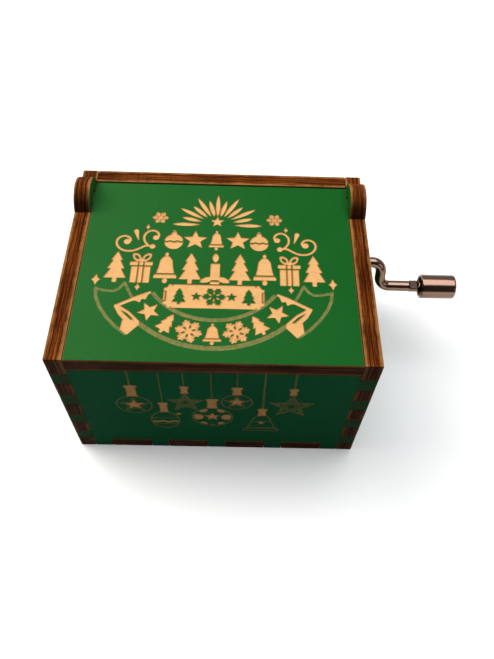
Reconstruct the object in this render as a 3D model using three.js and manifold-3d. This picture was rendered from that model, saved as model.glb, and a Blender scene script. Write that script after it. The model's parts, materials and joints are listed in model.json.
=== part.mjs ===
// Hand crank music box: a laser-cut plywood case with a pegged lid and a cylinder-and-comb movement
// turned by a wire crank. Millimetres, +Z up, origin at the middle of the case's underside,
// the front panel facing -Y and the crank on +X.
import * as THREE from "three";
import { mergeVertices } from "three/addons/utils/BufferGeometryUtils.js";
import Module from "manifold-3d";

const wasm = await Module();
wasm.setup();

// Driving sizes of the case.
const caseWidth = 64;
const caseDepth = 51;
const sideHeight = 39;
const plyThickness = 3.5;
const cutGap = 0.1;
const lidSideGap = { left: 0.15, right: 0.45 };

// Finger joints: one step of ply thickness at the foot, then equal steps up to the top finger.
const fingerCount = 7;
const fingerPitch = 4.314;
const bottomTabPitch = 13.2;
const bottomTabWidth = 8.9;
const lengthwiseTabs = 4;
const crosswiseTabs = 3;

// Lid hinge: a square peg of the lid turns in a round hole through a lug on each side panel.
const lugRadius = 5.25;
const lugCentre = { y: 17.2, z: 37.5 };
const pegWidth = 3.2;
const pegHoleRadius = 2.5;
const hingeZ = sideHeight - plyThickness / 2;
const lidTail = 4.4;

// Worm drive: the crank shaft runs along X over a gear on the rear end of the cylinder.
const crankY = 11.5;
const crankZ = 25.3;
const gearTeeth = 17;
const toothModule = 0.75;
const gearPitchRadius = (gearTeeth * toothModule) / 2;
const gearAddendum = 0.55;
const gearDedendum = 0.85;
const gearThickness = 3;
const gearToothShare = 0.36;
const wormPitchRadius = 2.1;
const wormAddendum = 0.6;
const wormRootRadius = 1.35;
const wormLength = 10;
const driveRunningGap = 0.1;
const wormLead = Math.PI * toothModule;
const cylinderX = 8;
const cylinderZ = crankZ - gearPitchRadius - wormPitchRadius - driveRunningGap;

// Cylinder and comb.
const noteCount = 18;
const notePitch = 1.14;
const drumRadius = 6.2;
const drumWall = 0.6;
const pinHeight = 0.6;
const pinRadius = 0.22;
const pinsPerNote = 5;
const drumMargin = 0.55;
const arborRadius = 1;
const drumCentreY = -2.9;
const drumLength = noteCount * notePitch + 2 * drumMargin;
const combThickness = 1;
const combTipGap = 0.4;
const combHeelX = -18.5;
const combSlotWidth = 0.22;
const combSlotEnd = { bass: -11.5, treble: -6.5 };
const combZ = cylinderZ + 0.1;

// Bedplate and its brackets.
const bedThickness = 2.5;
const bedBottom = plyThickness + cutGap;
const bedTop = bedBottom + bedThickness;
const bedSpan = { x0: -19.5, x1: 21.5, y0: -21, y1: 20.8 };
const ledgeWidth = 6.5;
const sheet = 1.4;
const restGap = 0.2;
const bearingGap = 0.06;
const footReach = 3.9;

// Screws.
const screwShank = 0.9;
const screwHead = 1.7;
const screwHeadHeight = 1.1;
const screwSlotWidth = 0.4;
const screwSlotDepth = 0.5;
const screwHoleGap = 0.1;

// Crank wire and its knob.
const wireRadius = 1.27;
const crankArmX = 38.5;
const crankArmLength = 6.2;
const crankArmLean = THREE.MathUtils.degToRad(23.3);
const crankBend = 2.4;
const socketMouthX = 23;
const socketDepth = 5;
const wireRun = { x0: socketMouthX - socketDepth + 0.3, x1: 55.3 };
const wingX = 46.9;
const wing = { length: 2.6, width: 3, thickness: 1.1 };
const knobRadius = 2.9;
const knobSpan = { x0: 48.5, x1: 56.8 };
const knobWall = 0.6;
const knobRecess = 1;
const knobEdge = 0.7;
const wallHoleRadius = 3;

const halfWidth = caseWidth / 2;
const halfDepth = caseDepth / 2;
const innerHalfWidth = halfWidth - plyThickness;
const innerHalfDepth = halfDepth - plyThickness;
const frontHeight = sideHeight - plyThickness;
const panelTopOfFront = frontHeight - cutGap;

// Materials: one function so that every mesh owns its own.
function finish(color, roughness, metalness) {
  return new THREE.MeshStandardMaterial({ color, roughness, metalness });
}

const paintedPly = () => finish(0x2a6a30, 0.6, 0);
const darkPaintedPly = () => finish(0x0c3b22, 0.6, 0);
const castZinc = () => finish(0x9a9a98, 0.45, 0.85);
const springSteel = () => finish(0xb9bcc0, 0.3, 0.95);
const bracketSteel = () => finish(0xa4a8ac, 0.35, 0.9);
const screwSteel = () => finish(0xc4c6c8, 0.3, 0.95);
const nickel = () => finish(0xc9b8aa, 0.22, 1);
const brass = () => finish(0xc9a24e, 0.3, 1);
const softLead = () => finish(0x6c6f73, 0.6, 0.7);

// A geometry as a manifold solid.
function solidOf(geometry) {
  const bare = geometry.clone();
  bare.deleteAttribute("normal");
  bare.deleteAttribute("uv");
  const merged = mergeVertices(bare, 1e-4);
  return new wasm.Manifold(
    new wasm.Mesh({
      numProp: 3,
      vertProperties: new Float32Array(merged.attributes.position.array),
      triVerts: new Uint32Array(merged.index.array),
    }),
  );
}

// A manifold solid back as a geometry.
function geometryOf(solid) {
  const mesh = solid.getMesh();
  const geometry = new THREE.BufferGeometry();
  geometry.setAttribute("position", new THREE.BufferAttribute(mesh.vertProperties, 3));
  geometry.setIndex(new THREE.BufferAttribute(mesh.triVerts, 1));
  geometry.computeVertexNormals();
  return geometry;
}

// Cuts every tool out of a body.
function cut(body, tools) {
  return geometryOf(tools.reduce((left, tool) => left.subtract(solidOf(tool)), solidOf(body)));
}

// Joins bodies into one.
function join(bodies) {
  const [first, ...rest] = bodies.map(solidOf);
  return geometryOf(rest.reduce((whole, body) => whole.add(body), first));
}

function named(name, geometry, material) {
  const mesh = new THREE.Mesh(geometry, material);
  mesh.name = name;
  return mesh;
}

// An outline from [x, y] points.
function outline(points) {
  return new THREE.Shape(points.map(([x, y]) => new THREE.Vector2(x, y)));
}

function extrude(shape, depth, curveSegments = 14) {
  return new THREE.ExtrudeGeometry(shape, { depth, bevelEnabled: false, curveSegments });
}

function circle(x, y, radius) {
  const path = new THREE.Path();
  path.absarc(x, y, radius, 0, 2 * Math.PI, true);
  return path;
}

// A box given by its two corners.
function block(x0, x1, y0, y1, z0, z1) {
  return new THREE.BoxGeometry(x1 - x0, y1 - y0, z1 - z0).translate(
    (x0 + x1) / 2,
    (y0 + y1) / 2,
    (z0 + z1) / 2,
  );
}

// A plate drawn in YZ, its thickness going up X from x.
function plateAcrossX(shape, thickness, x) {
  const turn = new THREE.Matrix4().makeBasis(
    new THREE.Vector3(0, 1, 0),
    new THREE.Vector3(0, 0, 1),
    new THREE.Vector3(1, 0, 0),
  );
  return extrude(shape, thickness).applyMatrix4(turn).translate(x, 0, 0);
}

// A plate drawn in XZ, its thickness going up Y from y.
function plateAcrossY(shape, thickness, y) {
  return extrude(shape, thickness)
    .rotateX(Math.PI / 2)
    .translate(0, y + thickness, 0);
}

// A turned piece: profile points are [radius, height along the axis].
function turned(profile, segments = 28) {
  return new THREE.LatheGeometry(
    profile.map(([r, h]) => new THREE.Vector2(r, h)),
    segments,
  );
}

const alongX = (geometry) => geometry.rotateZ(-Math.PI / 2);
const alongZ = (geometry) => geometry.rotateX(Math.PI / 2);

// Heights of the finger steps, from the foot to the top finger's lower edge.
function fingerSteps() {
  const steps = [plyThickness];
  for (let i = 1; i <= fingerCount; i += 1) steps.push(plyThickness + i * fingerPitch);
  return steps;
}

// Middles of the bottom panel's tabs along one wall.
function tabMiddles(count) {
  return Array.from({ length: count }, (_, i) => (i - (count - 1) / 2) * bottomTabPitch);
}

// The notches that the bottom panel's tabs leave in the foot of a wall, left to right.
function footNotches(count) {
  const half = bottomTabWidth / 2 + cutGap;
  const top = plyThickness + cutGap;
  return tabMiddles(count).flatMap((m) => [
    [m - half, 0],
    [m - half, top],
    [m + half, top],
    [m + half, 0],
  ]);
}

// The stepped edge of a panel, from the foot up. Even segments reach reachEven, odd ones reachOdd.
function steppedEdge(reachEven, reachOdd) {
  const gap = cutGap / 2;
  return fingerSteps().flatMap((z, i) => {
    const below = i % 2 === 0 ? reachEven : reachOdd;
    const above = i % 2 === 0 ? reachOdd : reachEven;
    const evenIsBelow = Math.abs(reachEven) > Math.abs(reachOdd) === (i % 2 === 0);
    const level = evenIsBelow ? z - gap : z + gap;
    return [
      [below, level],
      [above, level],
    ];
  });
}

// Side panel: its even fingers and its top corner reach the front and back faces of the case.
function sidePanelShape() {
  const inner = innerHalfDepth + cutGap;
  const rearEdge = steppedEdge(halfDepth, inner - 2 * cutGap);
  const frontEdge = steppedEdge(-halfDepth, -(inner - 2 * cutGap)).reverse();
  const rise = sideHeight - lugCentre.z;
  const lugAngle = Math.asin(rise / lugRadius);
  const shape = outline([[-halfDepth, 0], ...footNotches(crosswiseTabs), [halfDepth, 0], ...rearEdge]);
  shape.lineTo(halfDepth, sideHeight);
  shape.lineTo(lugCentre.y + lugRadius * Math.cos(lugAngle), sideHeight);
  shape.absarc(lugCentre.y, lugCentre.z, lugRadius, lugAngle, Math.PI - lugAngle, false);
  shape.lineTo(-halfDepth, sideHeight);
  frontEdge.forEach(([y, z]) => shape.lineTo(y, z));
  shape.holes.push(circle(lugCentre.y, hingeZ, pegHoleRadius));
  return shape;
}

function sidePanelLeft() {
  return plateAcrossX(sidePanelShape(), plyThickness, -halfWidth);
}

function sidePanelRight() {
  const shape = sidePanelShape();
  shape.holes.push(circle(crankY, crankZ, wallHoleRadius));
  return plateAcrossX(shape, plyThickness, innerHalfWidth);
}

// Front and back panels: their odd fingers reach the outer faces of the side panels.
function endPanelShape(top) {
  const inner = innerHalfWidth - cutGap;
  const right = steppedEdge(inner, halfWidth);
  const left = steppedEdge(-inner, -halfWidth).reverse();
  const points = [[-inner, 0], ...footNotches(lengthwiseTabs), [inner, 0]];
  return outline([...points, ...right, [inner, top], [-inner, top], ...left]);
}

function frontPanel() {
  return plateAcrossY(endPanelShape(panelTopOfFront), plyThickness, -halfDepth);
}

function backPanel() {
  return plateAcrossY(endPanelShape(sideHeight), plyThickness, innerHalfDepth);
}

// Places of the screws that hold the bedplate down, and of the blind holes they run up into.
const bedScrewPlaces = [
  [-15.5, -17.5],
  [16.5, -15.5],
  [-15.5, 15.5],
];
const countersink = { mouth: 2.75, depth: 1.7 };

// Bottom panel, with tabs into the notches of all four walls.
function bottomPanel() {
  const halfTab = bottomTabWidth / 2;
  const x = innerHalfWidth - cutGap;
  const y = innerHalfDepth - cutGap;
  const frontTabs = tabMiddles(lengthwiseTabs).flatMap((m) => [
    [m - halfTab, -y],
    [m - halfTab, -halfDepth],
    [m + halfTab, -halfDepth],
    [m + halfTab, -y],
  ]);
  const rightTabs = tabMiddles(crosswiseTabs).flatMap((m) => [
    [x, m - halfTab],
    [halfWidth, m - halfTab],
    [halfWidth, m + halfTab],
    [x, m + halfTab],
  ]);
  const backTabs = frontTabs.map(([px, py]) => [-px, -py]);
  const leftTabs = rightTabs.map(([px, py]) => [-px, -py]);
  const points = [[-x, -y], ...frontTabs, [x, -y], ...rightTabs];
  const shape = outline([...points, [x, y], ...backTabs, [-x, y], ...leftTabs]);
  const holes = bedScrewPlaces.map(([px, py]) => screwClearance().translate(px, py, 0));
  return cut(extrude(shape, plyThickness), holes);
}

// The countersunk hole under one bedplate screw, cut right through the bottom panel.
function screwClearance() {
  const r = screwShank + 2 * screwHoleGap;
  const over = 1;
  const profile = [
    [0, -over],
    [countersink.mouth, -over],
    [countersink.mouth, 0],
    [r, countersink.depth],
    [r, plyThickness + over],
    [0, plyThickness + over],
  ];
  return alongZ(turned(profile));
}

// Lid: it lies between the side panels, over the front panel, with a square peg on each side.
function lidPanel() {
  const left = -innerHalfWidth + lidSideGap.left;
  const right = innerHalfWidth - lidSideGap.right;
  const rear = lugCentre.y + lidTail;
  const peg = pegWidth / 2;
  const shape = outline([
    [left, -halfDepth],
    [right, -halfDepth],
    [right, lugCentre.y - peg],
    [halfWidth, lugCentre.y - peg],
    [halfWidth, lugCentre.y + peg],
    [right, lugCentre.y + peg],
    [right, rear],
    [left, rear],
    [left, lugCentre.y + peg],
    [-halfWidth, lugCentre.y + peg],
    [-halfWidth, lugCentre.y - peg],
    [left, lugCentre.y - peg],
  ]);
  return extrude(shape, plyThickness).translate(0, 0, frontHeight);
}

// Places of the comb screws, in the comb's heel.
const combScrewX = combHeelX + ledgeWidth / 2;
const combScrewPlaces = [drumCentreY - 6, drumCentreY + 6];

// Feet of the brackets, given by the middle of each screw.
const bracketScrewPlaces = {
  front: [cylinderX, -18.9],
  rear: [cylinderX, 18.1],
  wormLeft: [-2.7, crankY],
  wormRight: [18.7, crankY],
};
const frontBracketY = -17;
const rearBracketY = 14.8;
const wormLugX = { left: -0.6, right: 15.2 };
const lugWidth = 5.5;

// A blind or through hole for a screw, from z0 to z1.
function screwHole(x, y, z0, z1) {
  const r = screwShank + screwHoleGap;
  return new THREE.CylinderGeometry(r, r, z1 - z0, 20)
    .rotateX(Math.PI / 2)
    .translate(x, y, (z0 + z1) / 2);
}

// Bedplate: a rounded casting with the raised ledge that carries the comb's heel.
function bedplate() {
  const corner = 3;
  const { x0, x1, y0, y1 } = bedSpan;
  const shape = new THREE.Shape();
  shape.absarc(x1 - corner, y1 - corner, corner, 0, Math.PI / 2, false);
  shape.absarc(x0 + corner, y1 - corner, corner, Math.PI / 2, Math.PI, false);
  shape.absarc(x0 + corner, y0 + corner, corner, Math.PI, 1.5 * Math.PI, false);
  shape.absarc(x1 - corner, y0 + corner, corner, 1.5 * Math.PI, 2 * Math.PI, false);
  const plate = extrude(shape, bedThickness, 6).translate(0, 0, bedBottom);
  const ledgeTop = combZ - combThickness / 2 - restGap;
  const half = drumLength / 2;
  const sink = 1;
  const ledge = block(
    combHeelX,
    combHeelX + ledgeWidth,
    drumCentreY - half,
    drumCentreY + half,
    bedTop - sink,
    ledgeTop,
  );
  const through = [bedBottom - sink, bedTop + sink];
  const bedHoles = bedScrewPlaces.map(([x, y]) => screwHole(x, y, ...through));
  const footHoles = Object.values(bracketScrewPlaces).map(([x, y]) => screwHole(x, y, ...through));
  const combHoles = combScrewPlaces.map((y) =>
    screwHole(combScrewX, y, ledgeTop - combScrewLength - sink, ledgeTop + sink),
  );
  return cut(join([plate, ledge]), [...bedHoles, ...footHoles, ...combHoles]);
}

const combScrewLength = 5;

// Comb: one tooth per note, the bass teeth longest.
function comb() {
  const tipX = cylinderX - drumRadius - pinHeight - combTipGap;
  const start = drumCentreY - (noteCount * notePitch) / 2;
  const end = start + noteCount * notePitch;
  const points = [
    [combHeelX, end],
    [combHeelX, start],
  ];
  for (let i = 0; i < noteCount; i += 1) {
    const y = start + i * notePitch;
    const half = combSlotWidth / 2;
    const y0 = i === 0 ? y : y + half;
    const y1 = i === noteCount - 1 ? y + notePitch : y + notePitch - half;
    points.push([tipX, y0], [tipX, y1]);
    if (i < noteCount - 1) {
      const share = (i + 0.5) / (noteCount - 1);
      const slotEnd = THREE.MathUtils.lerp(combSlotEnd.bass, combSlotEnd.treble, share);
      points.push([slotEnd, y1], [slotEnd, y1 + combSlotWidth]);
    }
  }
  const shape = outline(points);
  combScrewPlaces.forEach((y) => shape.holes.push(circle(combScrewX, y, screwShank + screwHoleGap)));
  return extrude(shape, combThickness).translate(0, 0, combZ - combThickness / 2);
}

// Lead weight under the tip of one bass tooth.
function combWeight(index) {
  const tipX = cylinderX - drumRadius - pinHeight - combTipGap;
  const middle = drumCentreY - (noteCount * notePitch) / 2 + (index + 0.5) * notePitch;
  const half = (notePitch - combSlotWidth) / 2;
  const length = 4.2 - 0.45 * index;
  const depth = 2 - 0.2 * index;
  const top = combZ - combThickness / 2 - cutGap;
  const setBack = 1.6;
  return block(
    tipX - setBack - length,
    tipX - setBack,
    middle - half,
    middle + half,
    top - depth,
    top,
  );
}

// A slotted pan-head screw standing on z = 0, its shank going down.
function slottedScrew(shankLength) {
  const dome = 0.35;
  const profile = [
    [0, -shankLength],
    [screwShank * 0.6, -shankLength],
    [screwShank, -shankLength + screwShank * 0.6],
    [screwShank, 0],
    [screwHead, 0],
    [screwHead, screwHeadHeight - dome],
    [screwHead * 0.72, screwHeadHeight],
    [0, screwHeadHeight],
  ];
  const slot = block(
    -screwHead * 1.2,
    screwHead * 1.2,
    -screwSlotWidth / 2,
    screwSlotWidth / 2,
    screwHeadHeight - screwSlotDepth,
    screwHeadHeight * 2,
  );
  return cut(alongZ(turned(profile, 16)), [slot]);
}

// A countersunk wood-and-metal screw driven up from the underside, its head face at z = 0.
function countersunkScrew() {
  const length = bedTop - restGap;
  const headRadius = countersink.mouth - 2 * screwHoleGap;
  const profile = [
    [0, 0],
    [headRadius, 0],
    [screwShank, countersink.depth - 2 * screwHoleGap],
    [screwShank, length - screwShank],
    [screwShank * 0.5, length],
    [0, length],
  ];
  const reach = headRadius * 0.62;
  const half = screwSlotWidth / 2;
  const depth = screwSlotDepth * 1.6;
  const slotAcross = block(-reach, reach, -half, half, -1, depth);
  const slotAlong = block(-half, half, -reach, reach, -1, depth);
  return cut(alongZ(turned(profile, 16)), [slotAcross, slotAlong]);
}

// Pinned drum: a brass tube with rows of pins, each row serving one tooth.
function cylinderDrum() {
  const half = drumLength / 2;
  const inner = drumRadius - drumWall;
  const profile = [
    [inner, -half],
    [drumRadius, -half],
    [drumRadius, half],
    [inner, half],
    [inner, -half],
  ];
  const sink = 0.25;
  const golden = 0.618034;
  const pins = [];
  for (let note = 0; note < noteCount; note += 1) {
    const y = (note + 0.5) * notePitch - (noteCount * notePitch) / 2;
    for (let beat = 0; beat < pinsPerNote; beat += 1) {
      const turn = (beat + 0.5 * Math.sin(note * 2.4 + beat * 1.7)) / pinsPerNote + note * golden;
      const pin = new THREE.CylinderGeometry(pinRadius * 0.8, pinRadius, pinHeight + sink, 6);
      pin.rotateX(Math.PI / 2).translate(0, y, drumRadius + (pinHeight - sink) / 2);
      pins.push(pin.rotateY(2 * Math.PI * turn));
    }
  }
  return join([turned(profile, 48), ...pins]);
}

// A plug that carries one end of the drum on the arbor.
function drumCap() {
  const rim = drumRadius - drumWall - cutGap;
  const bore = arborRadius + bearingGap;
  const hub = 2.2;
  const profile = [
    [bore, 0],
    [hub, 0],
    [hub, 0.6],
    [rim, 0.6],
    [rim, 2],
    [bore, 2],
    [bore, 0],
  ];
  return turned(profile, 32);
}

// The arbor that the drum, its plugs and the gear turn on.
function cylinderArbor() {
  const y0 = frontBracketY - 0.8;
  const y1 = rearBracketY + sheet + 0.8;
  const edge = 0.25;
  const profile = [
    [0, y0],
    [arborRadius - edge, y0],
    [arborRadius, y0 + edge],
    [arborRadius, y1 - edge],
    [arborRadius - edge, y1],
    [0, y1],
  ];
  return turned(profile, 24);
}

// Turns each layer of an extrusion about its axis, so that its outline follows a helix.
function twist(geometry, radiansPerMm) {
  const position = geometry.attributes.position;
  const point = new THREE.Vector3();
  const axis = new THREE.Vector3(0, 0, 1);
  for (let i = 0; i < position.count; i += 1) {
    point.fromBufferAttribute(position, i).applyAxisAngle(axis, point.z * radiansPerMm);
    position.setXYZ(i, point.x, point.y, point.z);
  }
  return geometry;
}

// Gear on the arbor: trapezoid teeth that lean to follow the worm's thread.
function driveGear() {
  const tip = gearPitchRadius + gearAddendum;
  const root = gearPitchRadius - gearDedendum;
  const pitch = (2 * Math.PI) / gearTeeth;
  const halfAtPitch = (gearToothShare * pitch) / 2;
  const flank = Math.tan(THREE.MathUtils.degToRad(20));
  const halfAngle = (r) => halfAtPitch + (flank * (gearPitchRadius - r)) / gearPitchRadius;
  const points = [];
  for (let i = 0; i < gearTeeth; i += 1) {
    [
      [root, -1],
      [tip, -1],
      [tip, 1],
      [root, 1],
    ].forEach(([r, side]) => {
      const angle = i * pitch - Math.PI / 2 + side * halfAngle(r);
      points.push([r * Math.cos(angle), r * Math.sin(angle)]);
    });
  }
  const shape = outline(points);
  shape.holes.push(circle(0, 0, arborRadius + bearingGap));
  const lean = wormLead / (2 * Math.PI * wormPitchRadius) / gearPitchRadius;
  const body = new THREE.ExtrudeGeometry(shape, {
    depth: gearThickness,
    steps: 4,
    bevelEnabled: false,
    curveSegments: 12,
  });
  body.translate(0, 0, -gearThickness / 2);
  return twist(body, lean).rotateX(-Math.PI / 2);
}

// Thread of the worm: the polar outline of a single start, turned along the axis.
function wormThread() {
  const around = 28;
  const tip = wormPitchRadius + wormAddendum;
  const crest = 0.13;
  const foot = 0.27;
  const points = Array.from({ length: around }, (_, i) => {
    const share = i / around;
    const away = Math.abs(share > 0.5 ? share - 1 : share);
    const height = THREE.MathUtils.clamp((foot - away) / (foot - crest), 0, 1);
    const r = THREE.MathUtils.lerp(wormRootRadius, tip, height);
    return [r * Math.cos(share * 2 * Math.PI), r * Math.sin(share * 2 * Math.PI)];
  });
  const thread = new THREE.ExtrudeGeometry(outline(points), {
    depth: wormLength,
    steps: 40,
    bevelEnabled: false,
  });
  thread.translate(0, 0, -wormLength / 2);
  return twist(thread, (2 * Math.PI) / wormLead)
    .rotateZ(Math.PI)
    .rotateY(Math.PI / 2);
}

const journalRadius = 1.3;
const wormShaftStart = -2;
const socketRadius = 2;

// Worm shaft: journals in both lugs, the thread between them and a socket for the crank wire.
function wormShaft() {
  const bore = wireRadius + bearingGap;
  const floor = socketMouthX - socketDepth;
  const shoulder = wormLugX.right + sheet + restGap;
  const profile = [
    [0, wormShaftStart],
    [journalRadius, wormShaftStart],
    [journalRadius, wormLugX.left + sheet + restGap],
    [wormRootRadius + 0.05, wormLugX.left + sheet + restGap],
    [wormRootRadius + 0.05, wormLugX.right - restGap],
    [journalRadius, wormLugX.right - restGap],
    [journalRadius, shoulder],
    [socketRadius, shoulder],
    [socketRadius, socketMouthX],
    [bore, socketMouthX],
    [bore, floor],
    [0, floor],
  ];
  return join([alongX(turned(profile, 28)), wormThread().translate(cylinderX, 0, 0)]);
}

// Snap ring that keeps the worm shaft from sliding out of its left lug.
function wormRing() {
  const bore = journalRadius + bearingGap;
  const rim = 2.2;
  const profile = [
    [bore, 0],
    [rim, 0],
    [rim, 0.6],
    [bore, 0.6],
    [bore, 0],
  ];
  return alongX(turned(profile, 28));
}

// An upright bearing plate across Y with a foot, for one end of the arbor.
function arborBracket(y, footSide, screwY) {
  const half = 3.2;
  const shape = new THREE.Shape();
  shape.moveTo(cylinderX - half, bedTop + restGap);
  shape.lineTo(cylinderX + half, bedTop + restGap);
  shape.absarc(cylinderX, cylinderZ, half, 0, Math.PI, false);
  shape.holes.push(circle(cylinderX, cylinderZ, arborRadius + bearingGap));
  const upright = plateAcrossY(shape, sheet, y);
  const edge = footSide < 0 ? y + sheet : y;
  const reach = edge + footSide * (footReach + sheet);
  const foot = block(
    cylinderX - half,
    cylinderX + half,
    Math.min(edge, reach),
    Math.max(edge, reach),
    bedTop + restGap,
    bedTop + restGap + sheet,
  );
  const hole = screwHole(cylinderX, screwY, bedTop - 1, bedTop + 2 * sheet + 1);
  return cut(join([upright, foot]), [hole]);
}

// U-shaped bracket around the gear: two lugs for the worm shaft and a foot on each side.
function wormBracket() {
  const half = lugWidth / 2;
  const z0 = bedTop + restGap;
  const shape = new THREE.Shape();
  shape.moveTo(crankY - half, z0);
  shape.lineTo(crankY + half, z0);
  shape.absarc(crankY, crankZ, half, 0, Math.PI, false);
  shape.holes.push(circle(crankY, crankZ, journalRadius + bearingGap));
  const left = plateAcrossX(shape, sheet, wormLugX.left);
  const right = plateAcrossX(shape, sheet, wormLugX.right);
  const floor = block(
    wormLugX.left - footReach,
    wormLugX.right + sheet + footReach,
    crankY - half,
    crankY + half,
    z0,
    z0 + sheet,
  );
  const holes = [bracketScrewPlaces.wormLeft, bracketScrewPlaces.wormRight].map(([x, y]) =>
    screwHole(x, y, bedTop - 1, bedTop + 2 * sheet + 1),
  );
  return cut(join([left, right, floor]), holes);
}

// Centre line of the crank wire: in along X, down the short arm, out along X under the knob.
function crankPath() {
  const out = new THREE.Vector3(1, 0, 0);
  const down = new THREE.Vector3(0, -Math.sin(crankArmLean), -Math.cos(crankArmLean));
  const shaft = (x) => new THREE.Vector3(x, crankY, crankZ);
  const grip = (x) => shaft(x).addScaledVector(down, crankArmLength);
  const path = new THREE.CurvePath();
  const inner = shaft(crankArmX);
  const outer = grip(crankArmX);
  const a = inner.clone().addScaledVector(out, -crankBend);
  const b = inner.clone().addScaledVector(down, crankBend);
  const c = outer.clone().addScaledVector(down, -crankBend);
  const d = outer.clone().addScaledVector(out, crankBend);
  path.add(new THREE.LineCurve3(shaft(wireRun.x0), a));
  path.add(bendCurve(a, inner, b));
  path.add(new THREE.LineCurve3(b, c));
  path.add(bendCurve(c, outer, d));
  path.add(new THREE.LineCurve3(d, grip(wireRun.x1)));
  return path;
}

// A quarter-circle bend from a to b around the corner point, as a cubic curve.
function bendCurve(a, corner, b) {
  const pull = 0.5523;
  return new THREE.CubicBezierCurve3(
    a,
    a.clone().lerp(corner, pull),
    b.clone().lerp(corner, pull),
    b,
  );
}

const knobY = crankY - Math.sin(crankArmLean) * crankArmLength;
const knobZ = crankZ - Math.cos(crankArmLean) * crankArmLength;

// Crank wire, pinched flat just inboard of the knob.
function crankRod() {
  const section = new THREE.Shape();
  section.absarc(0, 0, wireRadius, 0, 2 * Math.PI, false);
  const wire = new THREE.ExtrudeGeometry(section, {
    steps: 84,
    curveSegments: 7,
    extrudePath: crankPath(),
    bevelEnabled: false,
  });
  const { length, width, thickness } = wing;
  const shape = outline([
    [-length / 2, -wireRadius],
    [0, -width / 2],
    [length / 2, -wireRadius],
    [length / 2, wireRadius],
    [0, width / 2],
    [-length / 2, wireRadius],
  ]);
  const pinch = extrude(shape, thickness).translate(wingX, 0, -thickness / 2);
  pinch.translate(0, knobY, knobZ);
  return join([wire, pinch]);
}

// Knob: a turned sleeve, open towards the box, rounded at its outer end.
function crankKnob() {
  const { x0, x1 } = knobSpan;
  const bore = wireRadius + bearingGap;
  const rim = knobRadius - knobWall;
  const corner = [0, 1, 2, 3, 4].map((i) => {
    const angle = (i * Math.PI) / 8;
    return [
      knobRadius - knobEdge * (1 - Math.cos(angle)),
      x1 - knobEdge * (1 - Math.sin(angle)),
    ];
  });
  const profile = [
    [0, wireRun.x1 + restGap],
    [bore, wireRun.x1 + restGap],
    [bore, x0 + knobRecess],
    [rim, x0 + knobRecess],
    [rim + 0.15, x0],
    [knobRadius - 0.2, x0],
    [knobRadius, x0 + 0.2],
    ...corner,
    [0, x1],
  ];
  return alongX(turned(profile, 36));
}

function caseGroup() {
  const group = new THREE.Group();
  group.add(
    named("side_panel_left", sidePanelLeft(), paintedPly()),
    named("side_panel_right", sidePanelRight(), paintedPly()),
    named("front_panel", frontPanel(), darkPaintedPly()),
    named("back_panel", backPanel(), paintedPly()),
    named("bottom_panel", bottomPanel(), paintedPly()),
    named("lid_panel", lidPanel(), paintedPly()),
  );
  bedScrewPlaces.forEach(([x, y], i) => {
    const screw = named(`bedplate_screw_${i + 1}`, countersunkScrew(), screwSteel());
    screw.position.set(x, y, cutGap);
    group.add(screw);
  });
  return group;
}

function combGroup() {
  const group = new THREE.Group();
  group.add(named("bedplate", bedplate(), castZinc()), named("comb", comb(), springSteel()));
  ["front", "rear"].forEach((place, i) => {
    const screw = named(`comb_screw_${place}`, slottedScrew(combScrewLength), screwSteel());
    screw.position.set(combScrewX, combScrewPlaces[i], combZ + combThickness / 2 + cutGap);
    screw.rotation.z = 0.5 + i;
    group.add(screw);
  });
  const weightCount = 5;
  for (let i = 0; i < weightCount; i += 1) {
    group.add(named(`comb_weight_${i + 1}`, combWeight(i), softLead()));
  }
  return group;
}

function cylinderGroup() {
  const group = new THREE.Group();
  const half = drumLength / 2;
  const drum = named("cylinder_drum", cylinderDrum(), brass());
  const frontCap = named("drum_cap_front", drumCap(), brass());
  const rearCap = named("drum_cap_rear", drumCap(), brass());
  const arbor = named("cylinder_arbor", cylinderArbor(), springSteel());
  const gear = named("drive_gear", driveGear(), brass());
  drum.position.y = drumCentreY;
  frontCap.position.y = drumCentreY - half;
  rearCap.position.y = drumCentreY + half;
  rearCap.rotation.z = Math.PI;
  gear.position.y = crankY;
  group.position.set(cylinderX, 0, cylinderZ);
  group.add(drum, frontCap, rearCap, arbor, gear);
  return group;
}

function bracketGroup() {
  const group = new THREE.Group();
  const { front, rear, wormLeft, wormRight } = bracketScrewPlaces;
  group.add(
    named("arbor_bracket_front", arborBracket(frontBracketY, -1, front[1]), bracketSteel()),
    named("arbor_bracket_rear", arborBracket(rearBracketY, 1, rear[1]), bracketSteel()),
    named("worm_bracket", wormBracket(), bracketSteel()),
  );
  const seats = {
    arbor_screw_front: front,
    arbor_screw_rear: rear,
    worm_screw_left: wormLeft,
    worm_screw_right: wormRight,
  };
  const length = bedThickness + sheet;
  Object.entries(seats).forEach(([name, [x, y]], i) => {
    const screw = named(name, slottedScrew(length), screwSteel());
    screw.position.set(x, y, bedTop + restGap + sheet + cutGap);
    screw.rotation.z = 0.4 + i;
    group.add(screw);
  });
  return group;
}

function crankGroup() {
  const group = new THREE.Group();
  const shaft = named("worm_shaft", wormShaft(), springSteel());
  const ring = named("worm_snap_ring", wormRing(), bracketSteel());
  const knob = named("crank_knob", crankKnob(), nickel());
  shaft.position.set(0, crankY, crankZ);
  ring.position.set(wormLugX.left - 0.6 - restGap, crankY, crankZ);
  knob.position.set(0, knobY, knobZ);
  group.add(shaft, ring, named("crank_rod", crankRod(), nickel()), knob);
  return group;
}

const group = new THREE.Group();
group.name = "hand_crank_music_box";
group.add(caseGroup(), combGroup(), cylinderGroup(), bracketGroup(), crankGroup());

export default group;
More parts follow.
